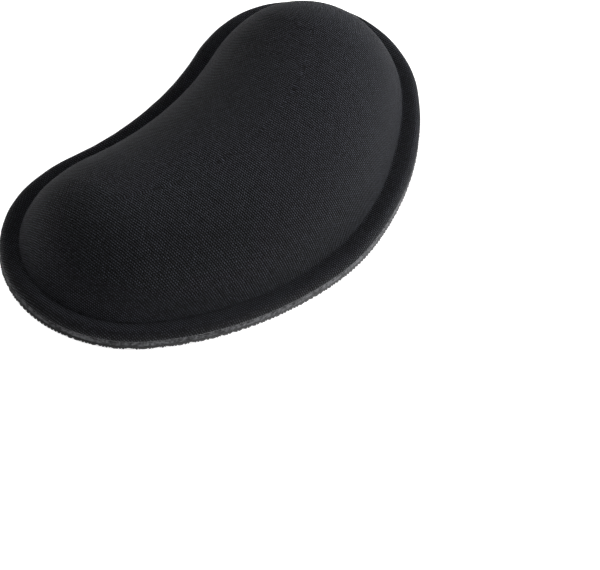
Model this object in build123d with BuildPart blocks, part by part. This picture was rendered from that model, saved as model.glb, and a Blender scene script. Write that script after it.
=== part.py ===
"""Kidney-shaped mouse wrist rest: a moulded foam cushion under a stretch-knit cover, bonded to a
sponge backing sheet with an anti-slip sole.

Units are millimetres. The origin is at the middle of the footprint, on the desk. +X runs along
the length and +Z is up. The convex belly faces -Y and the concave waist faces +Y.
"""

from build123d import *
import os
from math import atan2, cos, degrees, radians, sin, sqrt, tan

# Outline: tangent arcs, the same on the left and on the right
LENGTH = 140.0
END_R = 30.0  # the outer end of each lobe
SHOULDER_R = 37.0  # from each end round to the belly
BELLY_R = 86.0  # the long convex side
HIP_R = 47.5  # from each end round to the waist
WAIST_R = 95.0  # the concave side
SHOULDER_START = -10.0  # degrees round the lobe at which the end arc meets the shoulder arc
HIP_START = 86.0  # degrees round the lobe at which the end arc meets the hip arc

# Layers, from the desk upwards
SOLE_THICKNESS = 0.8
FILM_THICKNESS = 0.1
BACKING_THICKNESS = 1.7
COVER_THICKNESS = 0.7

# Flange and cushion, measured on the outside of the cover
FLANGE_WIDTH = 4.9  # from the cut edge to the foot of the cushion
FLANGE_TOP = 4.6  # height above the desk
FLANGE_ROUND = 1.8  # rounding of the outer edge
CUSHION_TOP = 21.0  # height above the desk
CUSHION_RUN = 24.0  # how far in from its foot the cushion levels out
FOOT_SLOPE = 72.0  # degrees from level at which the side leaves the flange
FOOT_PULL = 0.12  # share of the rise that sets how long the side stays that steep
CROWN_PULL = 0.8  # share of the run that sets how early the crown levels out
CUSHION_SECTIONS = 8

# Heights of the joints between the layers
SOLE_BOND = SOLE_THICKNESS
BACKING_BASE = SOLE_BOND + FILM_THICKNESS
CORE_BOND = BACKING_BASE + BACKING_THICKNESS
UPPER_BASE = CORE_BOND + FILM_THICKNESS

# Arc centres of the right-hand half, from the line through the two end centres
END_X = LENGTH / 2 - END_R
SHOULDER_X = END_X - (SHOULDER_R - END_R) * cos(radians(SHOULDER_START))
SHOULDER_Y = -(SHOULDER_R - END_R) * sin(radians(SHOULDER_START))
HIP_X = END_X - (HIP_R - END_R) * cos(radians(HIP_START))
HIP_Y = -(HIP_R - END_R) * sin(radians(HIP_START))
BELLY_Y = SHOULDER_Y + sqrt((BELLY_R - SHOULDER_R) ** 2 - SHOULDER_X**2)
WAIST_Y = HIP_Y + sqrt((WAIST_R + HIP_R) ** 2 - HIP_X**2)

# Where those arcs meet the belly and the waist, in degrees round the lobe
BELLY_END = degrees(atan2(SHOULDER_Y - BELLY_Y, SHOULDER_X))
WAIST_END = degrees(atan2(WAIST_Y - HIP_Y, -HIP_X))

# The line of the end centres, placed so that the footprint's middle is at y = 0
LOBE_LINE = (BELLY_R - BELLY_Y - HIP_Y - HIP_R) / 2


def outline_sketch(inset, height):
    """The kidney outline, moved in by `inset`, as a sketch at `height`."""
    lobe_arcs = (
        (SHOULDER_X, SHOULDER_Y, SHOULDER_R, BELLY_END, SHOULDER_START),
        (END_X, 0, END_R, SHOULDER_START, HIP_START),
        (HIP_X, HIP_Y, HIP_R, HIP_START, WAIST_END),
    )
    belly_centre = (0, LOBE_LINE + BELLY_Y)
    waist_centre = (0, LOBE_LINE + WAIST_Y)
    with BuildSketch(Plane.XY.offset(height)) as outline:
        with BuildLine():
            CenterArc(belly_centre, BELLY_R - inset, BELLY_END, -180 - 2 * BELLY_END)
            CenterArc(waist_centre, WAIST_R + inset, WAIST_END - 180, 180 - 2 * WAIST_END)
            for x, y, radius, start, end in lobe_arcs:
                right = CenterArc((x, LOBE_LINE + y), radius - inset, start, end - start)
                mirror(right, about=Plane.YZ)
        make_face()
    return outline.sketch


def flat_layer(base, thickness):
    """A sheet of the full outline, lying at height `base`."""
    with BuildPart() as layer:
        extrude(outline_sketch(0, base), amount=thickness)
    return layer


# Side of the cushion in section: x is the inset from the cut edge, y is the height
SIDE_RISE = CUSHION_TOP - FLANGE_TOP
SIDE_LEAN = FOOT_PULL * SIDE_RISE / tan(radians(FOOT_SLOPE))
with BuildLine() as cushion_side:
    Bezier(
        (FLANGE_WIDTH, FLANGE_TOP),
        (FLANGE_WIDTH + SIDE_LEAN, FLANGE_TOP + FOOT_PULL * SIDE_RISE),
        (FLANGE_WIDTH + CUSHION_RUN * (1 - CROWN_PULL), CUSHION_TOP),
        (FLANGE_WIDTH + CUSHION_RUN, CUSHION_TOP),
    )
SIDE_CURVE = cushion_side.edge()


def cushion_sections(peel):
    """Inset and height of each section of the cushion's surface, `peel` under its outside."""
    points = []
    for index in range(CUSHION_SECTIONS):
        step = index / (CUSHION_SECTIONS - 1)
        inward = (SIDE_CURVE % step).rotate(Axis.Z, -90)
        points.append(SIDE_CURVE @ step + inward * peel)
    foot = points[0]
    foot_inset = foot.X - (foot.Y - UPPER_BASE) / tan(radians(FOOT_SLOPE))
    return [Vector(foot_inset, UPPER_BASE)] + points


def upper_form(peel):
    """All that stands on the backing, flange and cushion, `peel` under the cover's outside."""
    with BuildPart() as form:
        extrude(outline_sketch(peel, UPPER_BASE), amount=FLANGE_TOP - peel - UPPER_BASE)
        fillet(form.edges().group_by(Axis.Z)[-1], FLANGE_ROUND - peel)
        loft([outline_sketch(section.X, section.Y) for section in cushion_sections(peel)])
    return form


cover_outside = upper_form(0)
cover_inside = upper_form(COVER_THICKNESS)
core_outside = upper_form(COVER_THICKNESS + FILM_THICKNESS)

# Anti-slip sole: thin textured sheet that lies on the desk
grip_sole = flat_layer(0, SOLE_THICKNESS)
grip_sole.part.label = "grip_sole"

# Adhesive film between the sole and the backing
sole_bond_film = flat_layer(SOLE_BOND, FILM_THICKNESS)
sole_bond_film.part.label = "sole_bond_film"

# Sponge backing sheet, whose cut edge shows all round
backing_sheet = flat_layer(BACKING_BASE, BACKING_THICKNESS)
backing_sheet.part.label = "backing_sheet"

# Adhesive film between the backing and everything above it
core_bond_film = flat_layer(CORE_BOND, FILM_THICKNESS)
core_bond_film.part.label = "core_bond_film"

# Foam cushion with its thin pressed skirt under the flange
with BuildPart() as foam_core:
    add(core_outside.part)
foam_core.part.label = "foam_core"

# Adhesive film that laminates the cover to the foam
with BuildPart() as cover_bond_film:
    add(cover_inside.part)
    add(core_outside.part, mode=Mode.SUBTRACT)
cover_bond_film.part.label = "cover_bond_film"

# Stretch-knit cover over the cushion and the flange
with BuildPart() as cover_fabric:
    add(cover_outside.part)
    add(cover_inside.part, mode=Mode.SUBTRACT)
cover_fabric.part.label = "cover_fabric"

os.makedirs("parts", exist_ok=True)
export_step(grip_sole.part, "parts/grip_sole.step")
export_step(sole_bond_film.part, "parts/sole_bond_film.step")
export_step(backing_sheet.part, "parts/backing_sheet.step")
export_step(core_bond_film.part, "parts/core_bond_film.step")
export_step(foam_core.part, "parts/foam_core.step")
export_step(cover_bond_film.part, "parts/cover_bond_film.step")
export_step(cover_fabric.part, "parts/cover_fabric.step")
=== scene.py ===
"""Looks of the kidney-shaped mouse wrist rest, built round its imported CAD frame. Metres."""

import bpy
import math
import numpy as np
from mathutils import Matrix, Vector, noise
from mathutils.geometry import delaunay_2d_cdt


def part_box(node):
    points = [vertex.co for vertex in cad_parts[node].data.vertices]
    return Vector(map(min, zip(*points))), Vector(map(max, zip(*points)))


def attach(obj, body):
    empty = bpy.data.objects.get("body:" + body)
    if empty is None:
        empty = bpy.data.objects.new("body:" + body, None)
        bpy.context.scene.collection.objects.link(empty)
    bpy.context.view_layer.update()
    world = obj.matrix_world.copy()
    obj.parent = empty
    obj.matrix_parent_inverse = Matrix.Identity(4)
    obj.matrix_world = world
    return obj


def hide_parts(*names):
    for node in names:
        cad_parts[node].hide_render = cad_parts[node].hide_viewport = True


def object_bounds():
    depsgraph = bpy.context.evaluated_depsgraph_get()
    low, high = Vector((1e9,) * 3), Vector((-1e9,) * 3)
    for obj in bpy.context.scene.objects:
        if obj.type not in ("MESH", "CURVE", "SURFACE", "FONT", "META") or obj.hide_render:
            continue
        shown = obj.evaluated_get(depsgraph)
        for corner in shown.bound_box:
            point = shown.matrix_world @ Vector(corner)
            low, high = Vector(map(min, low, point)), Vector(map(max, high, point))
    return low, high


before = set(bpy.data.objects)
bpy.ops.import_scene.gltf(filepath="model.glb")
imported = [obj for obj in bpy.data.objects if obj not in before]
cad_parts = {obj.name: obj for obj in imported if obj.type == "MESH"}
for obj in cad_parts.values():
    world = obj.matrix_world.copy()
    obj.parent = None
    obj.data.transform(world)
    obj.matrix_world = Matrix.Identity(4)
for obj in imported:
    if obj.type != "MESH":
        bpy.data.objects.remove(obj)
cad_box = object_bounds()
cad_high = cad_box[1]

# Outline, as in the CAD: tangent arcs, the same on the left and on the right
END_R = 0.030
END_X = cad_high.x - END_R
SHOULDER_R = 0.037
BELLY_R = 0.086
HIP_R = 0.0475
WAIST_R = 0.095
SHOULDER_START = math.radians(-10)
HIP_START = math.radians(86)

# The edge is trimmed by hand: a little proud of the die line in one spot, and the
# cushion stands a little further in beside it. Each is (middle x, middle y, reach, size).
TRIM_BULGE = (-0.002, -0.039, 0.016, 0.0007)
CUSHION_SHIFT = (0.034, -0.032, 0.021, 0.0010)

# Heights of the layers, from the CAD
SOLE_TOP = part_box("grip_sole")[1].z
BACKING_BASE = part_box("backing_sheet")[0].z
BACKING_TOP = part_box("backing_sheet")[1].z
COVER_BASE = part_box("cover_fabric")[0].z
CROWN_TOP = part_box("cover_fabric")[1].z

# Flange and cushion, on the outside of the cover
COVER_THICKNESS = 0.0007
FILM_THICKNESS = 0.0001
FLANGE_TOP = 0.0046
FLANGE_ROUND = 0.0018
FLANGE_WIDTH = 0.0049
VALLEY_HEIGHT = 0.0042
VALLEY_WIDTH = 0.0004  # from the valley's lowest line to the cushion's foot
FOOT_HEIGHT = VALLEY_HEIGHT + 0.0002
FLANGE_EASE = 0.0011  # how far past its shoulder the flange aims level
VALLEY_EASE = (0.0009, 0.0001)  # how far before and above the valley its curve aims
CREASE_EASE = 0.0002  # how far past its lowest line the valley aims level
FOOT_EASE = (0.00005, 0.00004)  # how far before the foot and above the valley the crease aims
EDGE_GAP = 0.00004  # between the cover's cut edge and the film under it
SIDE_SLOPE = math.radians(73)
SIDE_REACH = 0.0010  # rise over which the side keeps its slope at the foot
CROWN_REACH = 0.0036  # run over which the curve of the side aims at the crown's height
CROWN_SHARE = 0.985  # share of the way to the middle line where the last ring lies
ARC_PULL = 0.5523  # share of the radius that bends a cubic curve into a quarter circle

# Unevenness of hand-laid cloth and cut edges: how far across its waves are, and how high
CLOTH_SWELL = (0.022, 0.00010)
CLOTH_PUCKER = (0.007, 0.00003)
RIM_WAVE = (0.005, 0.00006)
CUT_WAVE = (0.011, 0.00012)
CUT_WOBBLE = (0.0022, 0.00007)
CUT_TEAR = (0.0007, 0.00014)
FILM_WAVE = (0.004, 0.00008)
FILM_SETBACK = 0.00018  # of a film's edge from the cut edge
BACKING_PROUD = 0.00008  # of the sponge past the cut edge
BACKING_ROUND = 0.00028  # how far the sponge's corners are rounded off
BACKING_SQUARENESS = 6  # the higher, the squarer the sponge's edge
CUT_DRAG = (1, 1, 0.3)  # the blade draws the cut's waves out upwards

# Mesh steps
ROUND_COVER = 840
ROUND_EDGE = 1800
ROUND_TEST = 720  # for telling what lies inside the outline
CROWN_STEP = 0.00052
BACKING_ROWS = 14
FOAM_SKIP = 2  # the foam has every second ring of the cover
LINING_SKIP = 3
FILM_SKIP = 4


# ---------------------------------------------------------------- outline


def outline_arcs():
    """Round the outline anticlockwise: each arc's centre, radius, start, sweep, and +1 if concave."""
    lobes = []
    for radius, start in ((SHOULDER_R, SHOULDER_START), (HIP_R, HIP_START)):
        x = END_X - (radius - END_R) * math.cos(start)
        y = -(radius - END_R) * math.sin(start)
        lobes.append((x, y))
    shoulder, hip = lobes
    belly_y = shoulder[1] + math.sqrt((BELLY_R - SHOULDER_R) ** 2 - shoulder[0] ** 2)
    waist_y = hip[1] + math.sqrt((WAIST_R + HIP_R) ** 2 - hip[0] ** 2)
    belly_end = math.atan2(shoulder[1] - belly_y, shoulder[0])
    waist_end = math.atan2(waist_y - hip[1], -hip[0])
    lift = (BELLY_R - belly_y - hip[1] - HIP_R) / 2
    half = (
        (shoulder[0], shoulder[1] + lift, SHOULDER_R, belly_end, SHOULDER_START),
        (END_X, lift, END_R, SHOULDER_START, HIP_START),
        (hip[0], hip[1] + lift, HIP_R, HIP_START, waist_end),
    )
    right = [(x, y, radius, start, end - start, -1) for x, y, radius, start, end in half]
    waist = (0, waist_y + lift, WAIST_R, waist_end - math.pi, math.pi - 2 * waist_end, 1)
    left = [
        (-x, y, radius, math.pi - end, end - start, -1)
        for x, y, radius, start, end in reversed(half)
    ]
    belly = (0, belly_y + lift, BELLY_R, -math.pi - belly_end, math.pi + 2 * belly_end, -1)
    return np.array([*right, waist, *left, belly])


def near(points, spot):
    """A smooth bump, one value for each point: full at the spot and nothing far from it."""
    x, y, reach, size = spot
    away = np.hypot(points[:, 0] - x, points[:, 1] - y) / reach
    return size * np.exp(-(away**2))


class Outline:
    """Points spaced evenly round the outline, with what it takes to move each one inwards."""

    def __init__(self, count):
        arcs = outline_arcs()
        lengths = np.abs(arcs[:, 2] * arcs[:, 4])
        ends = np.concatenate([[0.0], np.cumsum(lengths)])
        self.count = count
        along = np.arange(count) * ends[-1] / count
        which = np.searchsorted(ends, along, side="right") - 1
        share = (along - ends[which]) / lengths[which]
        x, y, radius, start, sweep, side = arcs[which].T
        angle = start + share * sweep
        self.centre = np.stack([x, y], axis=1)
        self.ray = np.stack([np.cos(angle), np.sin(angle)], axis=1)
        self.radius = radius
        self.side = side
        self.outward = self.ray * -side[:, None]
        self.edge = self.centre + self.ray * radius[:, None]
        self.depth = self.reach_inwards()
        self.bulge = near(self.edge, TRIM_BULGE)
        self.shift = near(self.edge, CUSHION_SHIFT)

    def points(self, inset):
        """The outline moved in by `inset`: one number, one per point, or rings of them."""
        rim = np.clip(1 - inset / FLANGE_WIDTH, 0, 1)
        foot = np.clip((inset - FLANGE_ROUND) / (FLANGE_WIDTH - FLANGE_ROUND), 0, 1)
        crown = np.clip((self.depth - inset) / (self.depth - FLANGE_WIDTH), 0, 1)
        moved = inset - self.bulge * rim + self.shift * foot * crown
        reach = self.radius + self.side * moved
        return self.centre + self.ray * np.expand_dims(reach, -1)

    def reach_inwards(self):
        """How far in from each point the outline's middle line lies."""
        edge = self.edge
        gap = edge[None] - edge[:, None]
        toward = -np.einsum("ijk,ik->ij", gap, self.outward)
        reach = np.full(toward.shape, np.inf)
        seen = toward > 1e-7
        reach[seen] = (gap**2).sum(axis=2)[seen] / (2 * toward[seen])
        own = np.where(self.side < 0, self.radius, np.inf)
        return np.minimum(reach.min(axis=1), own)


# ---------------------------------------------------------------- cushion surface


def bezier(points, t):
    """Points on a cubic curve from its four control values, which may be arrays."""
    a, b, c, d = points
    return (1 - t) ** 3 * a + 3 * (1 - t) ** 2 * t * b + 3 * (1 - t) * t**2 * c + t**3 * d


def curve(points, steps):
    """Points along a cubic curve through a section, without its first one."""
    t = np.linspace(0, 1, steps + 1)[1:, None]
    return bezier([np.array(point) for point in points], t)


def flange_section():
    """(inset, height) up the rounded shoulder, across the flange and down into the valley."""
    round_pull = ARC_PULL * FLANGE_ROUND
    shoulder_foot = (0, FLANGE_TOP - FLANGE_ROUND)
    shoulder_top = (FLANGE_ROUND, FLANGE_TOP)
    valley = (FLANGE_WIDTH - VALLEY_WIDTH, VALLEY_HEIGHT)
    foot = (FLANGE_WIDTH, FOOT_HEIGHT)
    shoulder = curve(
        [
            shoulder_foot,
            (0, shoulder_foot[1] + round_pull),
            (FLANGE_ROUND - round_pull, FLANGE_TOP),
            shoulder_top,
        ],
        10,
    )
    flange = curve(
        [
            shoulder_top,
            (FLANGE_ROUND + FLANGE_EASE, FLANGE_TOP),
            (valley[0] - VALLEY_EASE[0], VALLEY_HEIGHT + VALLEY_EASE[1]),
            valley,
        ],
        8,
    )
    crease = curve(
        [
            valley,
            (valley[0] + CREASE_EASE, VALLEY_HEIGHT),
            (foot[0] - FOOT_EASE[0], VALLEY_HEIGHT + FOOT_EASE[1]),
            foot,
        ],
        3,
    )
    start = np.array([(0.0, COVER_BASE + EDGE_GAP), shoulder_foot])
    return np.concatenate([start, shoulder, flange, crease])


def cushion_curves(run):
    """Control insets and heights of the side, for each run from the foot to the crown."""
    lean = SIDE_REACH / math.tan(SIDE_SLOPE)
    insets = [np.full_like(run, value) for value in (0.0, lean, CROWN_REACH)] + [run]
    heights = [FOOT_HEIGHT, FOOT_HEIGHT + SIDE_REACH, CROWN_TOP, CROWN_TOP]
    return [FLANGE_WIDTH + inset for inset in insets], heights


def cover_section(outline):
    """The cover's outside as rings of (inset, height), from the cut edge to the crown."""
    rings = [np.tile(pair, (outline.count, 1)) for pair in flange_section()]
    run = (outline.depth - FLANGE_WIDTH) * CROWN_SHARE
    insets, heights = cushion_curves(run)
    fine = np.linspace(0, 1, 500)
    middle = bezier([value.mean() for value in insets], fine)
    travel = np.cumsum(np.hypot(np.gradient(middle), np.gradient(bezier(heights, fine))))
    count = int(travel[-1] / CROWN_STEP)
    wanted = travel[-1] * (np.arange(1, count + 1) / count)
    for t in np.interp(wanted, travel, fine):
        height = np.full(outline.count, bezier(heights, t))
        rings.append(np.stack([bezier(insets, t), height], axis=1))
    return np.stack(rings)


def peeled(rings, peel):
    """The same rings moved square to the surface by `peel`, into the cushion."""
    along = np.gradient(rings, axis=0)
    size = np.hypot(along[..., 0], along[..., 1])
    inward = np.stack([along[..., 1], -along[..., 0]], axis=-1) / size[..., None]
    return rings + inward * peel


def place(outline, rings):
    """3-D points of rings of (inset, height)."""
    return np.concatenate([outline.points(rings[..., 0]), rings[..., 1:]], axis=-1)


# ---------------------------------------------------------------- mesh helpers


def ripple(points, wave, seed):
    """Smooth noise at each point, in waves of a given size across and height."""
    across, height = wave
    shift = Vector((seed * 7.3, seed * 3.1, seed * 5.7))
    flat = points.reshape(-1, 3)
    values = [noise.noise(Vector(point) / across + shift) for point in flat.tolist()]
    return np.array(values).reshape(points.shape[:-1]) * height


def ring_faces(rings, count):
    """Quads between each ring and the next; they face out where the rings run up or in."""
    here = np.arange(count)
    after = (here + 1) % count
    rows = [
        np.stack([here, after, after + count, here + count], axis=1) + ring * count
        for ring in range(rings - 1)
    ]
    return np.concatenate(rows).tolist()


def closed_mesh(name, rings):
    """A closed mesh through the rings, with a face across the first and the last one."""
    steps, count = rings.shape[:2]
    faces = ring_faces(steps, count)
    faces.append(list(range((steps - 1) * count, steps * count)))
    faces.append(list(range(count))[::-1])
    mesh = bpy.data.meshes.new(name)
    mesh.from_pydata(rings.reshape(-1, 3).tolist(), [], faces)
    mesh.polygons.foreach_set("use_smooth", [len(face) == 4 for face in faces])
    return mesh


def add_piece(name, mesh, materials, node):
    """Links the mesh as a piece that rides with the object and stands for its CAD node."""
    for material in materials:
        mesh.materials.append(material)
    mesh.update()
    piece = bpy.data.objects.new(name, mesh)
    bpy.context.scene.collection.objects.link(piece)
    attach(piece, "root")
    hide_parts(node)
    return piece


# ---------------------------------------------------------------- materials


class Finish:
    """A procedural material under construction: its nodes, links and main shader."""

    def __init__(self, name, roughness):
        self.material = bpy.data.materials.new(name)
        self.material.use_nodes = True
        self.tree = self.material.node_tree
        self.shader = self.tree.nodes["Principled BSDF"]
        self.set("Roughness", roughness)

    def set(self, socket, value):
        """Gives a socket of the main shader a number, a colour or another node's output."""
        self.fill(self.shader.inputs[socket], value)

    def fill(self, socket, value):
        """Gives any socket a number, a colour or another node's output."""
        if isinstance(value, bpy.types.NodeSocket):
            self.tree.links.new(value, socket)
        elif isinstance(value, tuple) and len(value) == 3 and socket.type == "RGBA":
            socket.default_value = (*value, 1)
        else:
            socket.default_value = value

    def node(self, kind, inputs, output=0, **settings):
        """A node with its inputs filled by position or name; gives back one of its outputs."""
        made = self.tree.nodes.new(kind)
        for setting, value in settings.items():
            setattr(made, setting, value)
        for key, value in inputs.items():
            self.fill(made.inputs[key], value)
        return made.outputs[output]

    def math(self, operation, a, b=0.0, c=0.0):
        """The result of a sum on up to three values."""
        return self.node("ShaderNodeMath", {0: a, 1: b, 2: c}, operation=operation)

    def noise(self, place, scale, detail=2.0, roughness=0.5):
        """Cloudy noise, about 0 to 1, with `scale` features to the metre."""
        inputs = {"Vector": place, "Scale": scale, "Detail": detail, "Roughness": roughness}
        return self.node("ShaderNodeTexNoise", inputs, "Fac")

    def spread(self, value, low, high, to_low=0.0, to_high=1.0):
        """Maps a value from low..high to to_low..to_high, and holds it there."""
        inputs = {0: value, 1: low, 2: high, 3: to_low, 4: to_high}
        return self.node("ShaderNodeMapRange", inputs)

    def blend(self, share, first, second):
        """A colour between two colours."""
        inputs = {0: share, 6: first, 7: second}
        return self.node("ShaderNodeMix", inputs, 2, data_type="RGBA")

    def place(self):
        """The place on the object, in metres."""
        return self.node("ShaderNodeTexCoord", {}, "Object")

    def split(self, vector):
        """The three parts of a vector."""
        return self.node("ShaderNodeSeparateXYZ", {0: vector}).node.outputs

    def relief(self, height, distance, strength=1.0):
        """Bump from a height of 0 to 1, as deep as `distance`."""
        inputs = {"Strength": strength, "Distance": distance, "Height": height}
        self.set("Normal", self.node("ShaderNodeBump", inputs))


WALE_PITCH = 0.00064  # between the knit's ribs, which run straight across the cushion
COURSE_PITCH = 0.00066  # between the stitches along a rib
WANDER = 0.9  # how far the ribs and stitches stray, in pitches
LEAN = 0.4  # how far a stitch leans across its rib, in pitches each way
SHINE_REACH = 1.5  # how far in the painted bounce light and sheen goes, in widths of the rounded shoulder


def knit_pattern(finish):
    """Height of the knit, and a random shade for each stitch."""
    cloth = finish.node("ShaderNodeAttribute", {}, "Vector", attribute_name="knit")
    x, y, _ = finish.split(cloth)
    drift = finish.math("MULTIPLY_ADD", finish.noise(cloth, 300.0), WANDER, -WANDER / 2)
    across = finish.math("ADD", finish.math("DIVIDE", x, WALE_PITCH), drift)
    wale = finish.math("FLOOR", across)
    off_rib = finish.math("SUBTRACT", finish.math("FRACT", across), 0.5)
    # Every other rib is half a stitch along, and its stitches lean the other way
    odd = finish.math("FLOORED_MODULO", wale, 2.0)
    lean = finish.math("MULTIPLY", off_rib, finish.math("MULTIPLY_ADD", odd, 2 * LEAN, -LEAN))
    along = finish.math("ADD", finish.math("DIVIDE", y, COURSE_PITCH), drift)
    shifted = finish.math("ADD", finish.math("MULTIPLY_ADD", odd, 0.5, lean), along)
    course = finish.math("FLOOR", shifted)
    off_stitch = finish.math("SUBTRACT", finish.math("FRACT", shifted), 0.5)
    rib = finish.spread(finish.math("ABSOLUTE", off_rib), 0.06, 0.44, 1.0, 0.0)
    stitch = finish.spread(finish.math("ABSOLUTE", off_stitch), 0.08, 0.48, 1.0, 0.0)
    height = finish.math("MULTIPLY", rib, finish.spread(stitch, 0.0, 1.0, 0.25, 1.0))
    cell = finish.node("ShaderNodeCombineXYZ", {0: wale, 1: course})
    shade = finish.node("ShaderNodeTexWhiteNoise", {"Vector": cell}, "Value")
    return height, shade


def knit_finish():
    """Black stretch knit with a fine rib, greyer down the trimmed shoulder with painted bounce light
    and sheen.
    """
    finish = Finish("knit_face", 0.82)
    height, shade = knit_pattern(finish)
    yarn = finish.blend(shade, (0.0045, 0.0052, 0.0084), (0.0265, 0.0292, 0.0395))
    # Painted bounce light and sheen: the yarn turns greyer towards the bottom of the shoulder, near
    # the cut edge
    _, _, z = finish.split(finish.place())
    low = finish.spread(z, COVER_BASE + 0.0004, FLANGE_TOP - 0.0001, 1.0, 0.0)
    rim = finish.node("ShaderNodeAttribute", {}, "Fac", attribute_name="rim")
    painted_shine = finish.math("POWER", finish.math("MULTIPLY", low, rim), 0.7)
    shine_lit_yarn = finish.blend(shade, (0.010, 0.010, 0.011), (0.052, 0.053, 0.058))
    # Painted shade: the gaps between ribs and stitches are near black, and the stitch tops keep the
    # yarn's colour
    raised = finish.math("POWER", height, 2.0)
    knit = finish.blend(raised, (0.0002, 0.0002, 0.0004), finish.blend(painted_shine, yarn, shine_lit_yarn))
    finish.set("Base Color", knit)
    finish.set("Sheen Weight", 0.05)
    finish.set("Sheen Roughness", 0.19)
    finish.set("Sheen Tint", (0.78, 0.83, 1.0))
    finish.set("Specular IOR Level", 0.10)
    finish.relief(height, 0.0004)
    return finish.material


def knit_edge_finish():
    """The knit where it is cut: short fibre ends, a little greyer than its face."""
    finish = Finish("knit_cut_edge", 0.95)
    place = finish.place()
    fibre = finish.noise(place, 2600.0, 3.0, 0.7)
    finish.set("Base Color", finish.blend(fibre, (0.010, 0.010, 0.011), (0.055, 0.056, 0.060)))
    finish.set("Sheen Weight", 0.3)
    finish.set("Sheen Roughness", 0.5)
    finish.relief(fibre, 0.0002, 0.8)
    return finish.material


def sponge_finish():
    """Grey sponge with a rough, cut, open-celled edge."""
    finish = Finish("cut_sponge", 0.92)
    place = finish.place()
    cells = finish.node("ShaderNodeTexVoronoi", {"Vector": place, "Scale": 2600.0}, "Distance")
    torn = finish.noise(place, 1150.0, 3.0, 0.6)
    blotch = finish.noise(place, 170.0)
    tone = finish.math("MULTIPLY_ADD", blotch, 0.4, finish.math("SUBTRACT", torn, 0.2))
    share = finish.spread(tone, 0.38, 0.64)
    colour = finish.blend(share, (0.005, 0.005, 0.006), (0.062, 0.063, 0.067))
    # Painted shade: the pits of the cells are darker
    pits = finish.spread(cells, 0.0, 0.35)
    finish.set("Base Color", finish.blend(pits, (0.011, 0.011, 0.012), colour))
    finish.set("Specular IOR Level", 0.3)
    finish.relief(finish.math("MULTIPLY", torn, pits), 0.00025, 0.8)
    return finish.material


def sole_finish():
    """Anti-slip sheet: grey bars with fine streaks, and painted shade darkening the grooves between
    them.
    """
    finish = Finish("grip_rubber", 0.7)
    place = finish.place()
    streak = finish.noise(place, 1900.0, 4.0, 0.7)
    patch = finish.noise(place, 90.0)
    tone = finish.spread(finish.math("MULTIPLY_ADD", patch, 0.4, streak), 0.4, 0.95)
    bars = finish.blend(tone, (0.028, 0.028, 0.029), (0.085, 0.086, 0.089))
    _, _, z = finish.split(place)
    # Painted shade: the deeper into a groove, the darker
    groove = finish.spread(z, 0.1 * GROOVE_DEPTH, 0.8 * GROOVE_DEPTH)
    finish.set("Base Color", finish.blend(groove, bars, (0.007, 0.007, 0.0075)))
    finish.set("Specular IOR Level", 0.35)
    finish.relief(streak, 0.00008, 0.6)
    return finish.material


def film_finish():
    """Dark hot-melt film, slightly glossy; where it shows in the seams, its dark colour is partly
    painted shade.
    """
    finish = Finish("melt_film", 0.45)
    place = finish.place()
    flow = finish.noise(place, 400.0, 3.0)
    finish.set("Base Color", finish.blend(flow, (0.004, 0.004, 0.0045), (0.012, 0.012, 0.013)))
    finish.relief(flow, 0.00004, 0.5)
    return finish.material


def foam_finish():
    """Soft grey open-cell foam."""
    finish = Finish("moulded_foam", 0.95)
    place = finish.place()
    pores = finish.node("ShaderNodeTexVoronoi", {"Vector": place, "Scale": 1500.0}, "Distance")
    tone = finish.noise(place, 60.0, 3.0)
    body = finish.blend(tone, (0.27, 0.26, 0.235), (0.36, 0.35, 0.32))
    # Painted shade: the open pores are darker, and the bump presses them in
    open_pores = finish.spread(pores, 0.05, 0.45)
    finish.set("Base Color", finish.blend(open_pores, (0.16, 0.155, 0.14), body))
    finish.relief(open_pores, 0.0003, 0.8)
    return finish.material


def floor_finish():
    """Plain pale floor that glows a little, as a light table does."""
    finish = Finish("pale_floor", 0.9)
    grain = finish.noise(finish.place(), 8.0)
    finish.set("Base Color", finish.blend(grain, (0.90, 0.90, 0.90), (0.92, 0.92, 0.92)))
    finish.set("Specular IOR Level", 0.1)
    finish.set("Emission Color", (1.0, 1.0, 1.0))
    finish.set("Emission Strength", 0.35)
    return finish.material


# ---------------------------------------------------------------- pieces


def uneven(outline, section):
    """The section with the slight unevenness of hand-laid cloth over foam."""
    spots = place(outline, section)
    rim = np.clip(1 - section[..., 0] / FLANGE_WIDTH, 0, 1)
    swell = ripple(spots, CLOTH_SWELL, 1) + ripple(spots, CLOTH_PUCKER, 2)
    swell = swell + ripple(spots, RIM_WAVE, 3) * rim
    return peeled(section, swell[..., None])


def knit_places(outline, spots):
    """Where each point lies on the flat cloth, laid out from the cushion's middle line."""
    steps = np.linalg.norm(np.diff(spots, axis=0), axis=2)
    left = np.concatenate([np.cumsum(steps[::-1], axis=0)[::-1], np.zeros_like(steps[:1])])
    middle = outline.points(outline.depth)
    flat = middle + outline.outward * left[..., None]
    return np.concatenate([flat, np.zeros_like(flat[..., :1])], axis=-1)


def make_cover(outline, section):
    """The knit cover: a closed shell over cushion, valley, flange and shoulder."""
    outside = place(outline, section)
    lining = peeled(section, COVER_THICKNESS)[::LINING_SKIP]
    lining[0] = (COVER_THICKNESS, COVER_BASE)
    inside = place(outline, lining)[::-1]
    rings = np.concatenate([inside, outside])
    mesh = closed_mesh("cover", rings)
    cloth = np.concatenate([knit_places(outline, inside[::-1])[::-1], knit_places(outline, outside)])
    attribute = mesh.attributes.new("knit", "FLOAT_VECTOR", "POINT")
    attribute.data.foreach_set("vector", cloth.ravel())
    inset = np.concatenate([lining[::-1, :, 0], section[..., 0]])
    # Share of the painted bounce light and sheen: full at the cut edge, gone one and a half shoulder
    # widths in
    rim = np.clip(SHINE_REACH - inset / FLANGE_ROUND, 0, 1)
    mesh.attributes.new("rim", "FLOAT", "POINT").data.foreach_set("value", rim.ravel())
    cover = add_piece("cover", mesh, [knit_finish(), knit_edge_finish()], "cover_fabric")
    cut = (len(inside) - 1) * outline.count
    for polygon in mesh.polygons[cut : cut + 2 * outline.count]:
        polygon.material_index = 1


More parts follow.
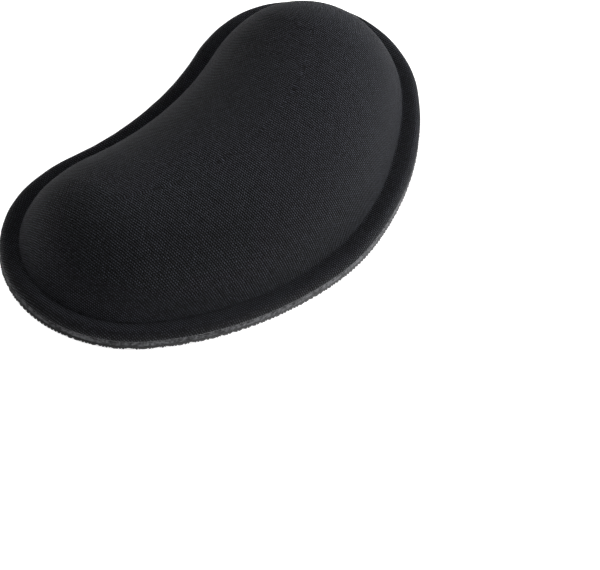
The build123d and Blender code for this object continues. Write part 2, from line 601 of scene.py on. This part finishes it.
def make_cover_film(outline, section):
    """The film between the cover and the foam."""
    coarse = section[::FILM_SKIP]
    outer = peeled(coarse, COVER_THICKNESS)
    inner = peeled(coarse, COVER_THICKNESS + FILM_THICKNESS)
    for rings, inset in ((outer, COVER_THICKNESS), (inner, COVER_THICKNESS + FILM_THICKNESS)):
        rings[0] = (inset, COVER_BASE)
    rings = np.concatenate([place(outline, inner)[::-1], place(outline, outer)])
    mesh = closed_mesh("cover_film", rings)
    add_piece("cover_film", mesh, [film_finish()], "cover_bond_film")


def make_foam(outline, section):
    """The foam cushion with its pressed skirt."""
    rings = peeled(section, COVER_THICKNESS + FILM_THICKNESS)[::FOAM_SKIP]
    rings[0] = (COVER_THICKNESS + FILM_THICKNESS, COVER_BASE)
    mesh = closed_mesh("foam_cushion", place(outline, rings))
    foam = add_piece("foam_cushion", mesh, [foam_finish()], "foam_core")


def make_film(name, outline, base, node):
    """A flat film, set back a little from the cut edge, where it shows as a dark line, partly painted
    seam shade.
    """
    spots = place(outline, np.tile((0.0, base), (1, outline.count, 1)))
    setback = FILM_SETBACK + ripple(spots, FILM_WAVE, 5)[0]
    rows = [
        np.stack([setback, np.full(outline.count, height)], axis=1)
        for height in (base, base + FILM_THICKNESS)
    ]
    mesh = closed_mesh(name, place(outline, np.stack(rows)))
    add_piece(name, mesh, [film_finish()], node)


def make_backing(outline):
    """The sponge sheet: a wavy, torn edge with its corners rounded off."""
    share = np.linspace(0, 1, BACKING_ROWS)
    height = BACKING_BASE + (BACKING_TOP - BACKING_BASE) * share
    corner = BACKING_ROUND * np.abs(2 * share - 1) ** BACKING_SQUARENESS
    section = np.stack([corner, height], axis=1)[:, None, :] + np.zeros((1, outline.count, 1))
    spots = place(outline, section)
    cut = ripple(spots * CUT_DRAG, CUT_WAVE, 7) + ripple(spots, CUT_WOBBLE, 8)
    section[..., 0] -= BACKING_PROUD + cut + ripple(spots, CUT_TEAR, 9)
    mesh = closed_mesh("backing", place(outline, section))
    add_piece("backing", mesh, [sponge_finish()], "backing_sheet")


# ---------------------------------------------------------------- sole

BAR_WIDTH = 0.00117  # width of a column of bars
BAR_PITCH = 0.00115  # from one bar to the next
GROOVE_DEPTH = 0.00042
BAR_FLATNESS = 1.35  # over 1, a bar's top is flat
BAR_SHARPNESS = 1.2
END_DROP = 0.35  # share of a bar's height that is missing at its ends
BAR_PROUD = 0.00018  # how far a cut bar stands out past a groove at the edge
GROOVE_PROUD = 0.6  # how far a groove stands out past the outline, as a share of that
EDGE_ROUND = 0.00012  # how far the sheet's upper edge is rounded off
BAR_PHASES = (0.0, 0.24, 0.5, 0.76)  # mesh points from one bar to the next
BAR_PLACES = (0.06, 0.5, 0.94)  # mesh points across a column of bars
RIM_MARGIN = 0.00012  # strip along the outline that has none of these points
SIDE_ROWS = 5
INSIDE_ONLY = 1  # the triangulation's setting that leaves out what lies past the rim
SAME_POINT = 1e-9  # nearer points count as one


def bar_slant(column):
    """Which way the bars of a column lean: +1 or -1 in turn."""
    return np.where(column % 2 == 0, 1.0, -1.0)


def bar_place(x, y):
    """Place across its column of bars, and phase along it, for points of the herringbone."""
    column = np.floor(x / BAR_WIDTH)
    across = x / BAR_WIDTH - column
    slant = bar_slant(column)
    phase = y / BAR_PITCH - slant * (across - 0.5) * BAR_WIDTH / BAR_PITCH + 0.5 * (column % 2)
    return across, phase - np.floor(phase)


def relief_height(x, y):
    """Height of the sole's underside above the desk."""
    across, phase = bar_place(x, y)
    ridge = np.clip(BAR_FLATNESS * np.cos((phase - 0.5) * math.pi) ** BAR_SHARPNESS, 0, 1)
    end = 1 - END_DROP * np.abs(2 * across - 1) ** 4
    return GROOVE_DEPTH * (1 - ridge * end)


def bar_points():
    """Points and edges along the bars, inside the outline."""
    reach_x = int(cad_high.x / BAR_WIDTH)
    reach_y = int(cad_high.y / BAR_PITCH)
    columns = np.arange(-reach_x - 1, reach_x + 1)
    rows = np.arange(-reach_y - 2, reach_y + 2)
    column, row, phase, across = np.meshgrid(columns, rows, BAR_PHASES, BAR_PLACES, indexing="ij")
    slant = bar_slant(column)
    x = (column + across) * BAR_WIDTH
    y = (row + phase - 0.5 * (column % 2)) * BAR_PITCH + slant * (across - 0.5) * BAR_WIDTH
    spots = np.stack([x, y], axis=-1)
    inside = inside_outline(spots.reshape(-1, 2)).reshape(x.shape)
    number = np.where(inside, np.cumsum(inside).reshape(x.shape) - 1, -1)
    pairs = np.stack([number[..., :-1].ravel(), number[..., 1:].ravel()], axis=1)
    return spots[inside], pairs[(pairs >= 0).all(axis=1)]


def inside_outline(spots):
    """True for each point that lies inside the outline with room to spare."""
    edge = Outline(ROUND_TEST).points(RIM_MARGIN)
    result = np.zeros(len(spots), bool)
    ahead = np.roll(edge, -1, axis=0)
    for (x0, y0), (x1, y1) in zip(edge, ahead):
        crosses = (spots[:, 1] >= min(y0, y1)) & (spots[:, 1] < max(y0, y1))
        if y0 != y1:
            at = x0 + (spots[crosses, 1] - y0) * (x1 - x0) / (y1 - y0)
            result[crosses] ^= spots[crosses, 0] < at
    return result


def underside(rim, bars, bar_edges):
    """Triangles over the outline whose corners are the rim's points and then the bars'."""
    loop = np.arange(len(rim))
    edges = np.concatenate([np.stack([loop, np.roll(loop, -1)], axis=1), bar_edges + len(rim)])
    spots = [Vector(spot) for spot in np.concatenate([rim, bars]).tolist()]
    points, _, faces, sources, _, _ = delaunay_2d_cdt(
        spots, edges.tolist(), [], INSIDE_ONLY, SAME_POINT
    )
    number = [source[0] if source else -1 for source in sources]
    added = [index for index, source in enumerate(number) if source < 0]
    for offset, index in enumerate(added):
        number[index] = len(spots) + offset
    extra = np.array([tuple(points[index]) for index in added]).reshape(-1, 2)
    return [[number[corner] for corner in face[::-1]] for face in faces], extra


def make_sole(outline):
    """The anti-slip sheet: herringbone bars underneath, cut through at the edge."""
    height = relief_height(*outline.points(0.0).T)
    proud = BAR_PROUD * (1 + GROOVE_PROUD - height / GROOVE_DEPTH)
    rings = []
    for share in np.linspace(0, 1, SIDE_ROWS):
        inset = EDGE_ROUND * share**3 - proud * (1 - share) ** 1.5
        rings.append(np.stack([inset, height + (SOLE_TOP - height) * share], axis=1))
    sides = place(outline, np.stack(rings))
    rim = sides[0, :, :2]
    bars, bar_edges = bar_points()
    faces, extra = underside(rim, bars, bar_edges)
    flat = np.concatenate([bars, extra])
    relief = np.column_stack([flat, relief_height(flat[:, 0], flat[:, 1])])
    last = len(rings) * outline.count
    shift = last - outline.count
    under = [
        [corner if corner < outline.count else corner + shift for corner in face]
        for face in faces
    ]
    top = [list(range(last - outline.count, last))]
    mesh = bpy.data.meshes.new("sole")
    points = np.concatenate([sides.reshape(-1, 3), relief]).tolist()
    mesh.from_pydata(points, [], ring_faces(len(rings), outline.count) + top + under)
    mesh.polygons.foreach_set("use_smooth", [len(face.vertices) == 4 for face in mesh.polygons])
    add_piece("sole", mesh, [sole_finish()], "grip_sole")


def build_pieces():
    """All seven layers, from the desk up."""
    edge = Outline(ROUND_EDGE)
    make_sole(edge)
    make_film("sole_film", edge, SOLE_TOP, "sole_bond_film")
    make_backing(edge)
    make_film("core_film", edge, BACKING_TOP, "core_bond_film")
    around = Outline(ROUND_COVER)
    section = uneven(around, cover_section(around))
    make_foam(around, section)
    make_cover_film(around, section)
    make_cover(around, section)


# ---------------------------------------------------------------- stage

AIM = Vector((-0.01699, -0.0328, 0.0))  # desk point in the middle of the view
AZIMUTH = math.radians(-60.079)
ELEVATION = math.radians(51.847)
ROLL = math.radians(9.514)
DISTANCE = 0.4929
LENS = 114.56
SENSOR = 36  # both in millimetres
FLOOR_RADIUS = 0.7
LIGHT_DISTANCE = 2.5
LIGHT_SIZE = 1.4
WORLD_GLOW = 0.05
LIGHTS = (  # name, degrees round from +X, degrees up, watts
    ("top", 90, 65, 48.0),
    ("front", 270, 15, 66.0),
    ("front_right", 300, 15, 76.0),
    ("right", 330, 15, 86.0),
    ("back", 80, 15, 40.0),
)


def add_floor():
    """A round, flat, pale floor, wider than the view."""
    mesh = bpy.data.meshes.new("floor")
    turns = np.linspace(0, 2 * math.pi, 96, endpoint=False)
    rim = FLOOR_RADIUS * np.stack([np.cos(turns), np.sin(turns), np.zeros_like(turns)], axis=1)
    mesh.from_pydata(rim.tolist(), [], [list(range(len(rim)))])
    mesh.materials.append(floor_finish())
    floor = bpy.data.objects.new("floor", mesh)
    bpy.context.scene.collection.objects.link(floor)


def add_camera():
    """A long lens looking down at the cushion from its near left, rolled a little."""
    level = Vector((math.cos(AZIMUTH), math.sin(AZIMUTH), 0))
    back = Vector(
        (
            math.sin(AZIMUTH) * math.cos(ELEVATION),
            -math.cos(AZIMUTH) * math.cos(ELEVATION),
            math.sin(ELEVATION),
        )
    )
    upright = back.cross(level)
    right = level * math.cos(ROLL) + upright * math.sin(ROLL)
    data = bpy.data.cameras.new("camera")
    data.lens = LENS
    data.sensor_width = SENSOR
    data.clip_start = 0.01
    camera = bpy.data.objects.new("camera", data)
    turn = Matrix((right, back.cross(right), back)).transposed().to_4x4()
    camera.matrix_world = Matrix.Translation(AIM + back * DISTANCE) @ turn
    bpy.context.scene.collection.objects.link(camera)
    bpy.context.scene.camera = camera


def add_light(name, azimuth, elevation, power):
    """A square soft light on a wide dome round the cushion, turned to face it."""
    data = bpy.data.lights.new(name, "AREA")
    data.shape = "SQUARE"
    data.size = LIGHT_SIZE
    data.energy = power
    azimuth = math.radians(azimuth)
    elevation = math.radians(elevation)
    level = math.cos(elevation)
    toward = Vector((math.cos(azimuth) * level, math.sin(azimuth) * level, math.sin(elevation)))
    light = bpy.data.objects.new(name, data)
    turn = toward.to_track_quat("Z", "Y").to_matrix().to_4x4()
    light.matrix_world = Matrix.Translation(toward * LIGHT_DISTANCE) @ turn
    light.visible_camera = False
    bpy.context.scene.collection.objects.link(light)


def add_world():
    """A white surround for the camera, which lights the cushion only faintly."""
    world = bpy.data.worlds.new("studio")
    world.use_nodes = True
    nodes = world.node_tree.nodes
    seen = nodes.new("ShaderNodeLightPath").outputs["Is Camera Ray"]
    strength = nodes.new("ShaderNodeMapRange")
    strength.inputs["To Min"].default_value = WORLD_GLOW
    strength.inputs["To Max"].default_value = 1.0
    world.node_tree.links.new(seen, strength.inputs["Value"])
    background = nodes["Background"]
    background.inputs["Color"].default_value = (1, 1, 1, 1)
    world.node_tree.links.new(strength.outputs[0], background.inputs["Strength"])
    bpy.context.scene.world = world


build_pieces()
add_floor()
add_camera()
add_world()
for name, azimuth, elevation, power in LIGHTS:
    add_light(name, azimuth, elevation, power)
bpy.context.scene.view_settings.view_transform = "Standard"
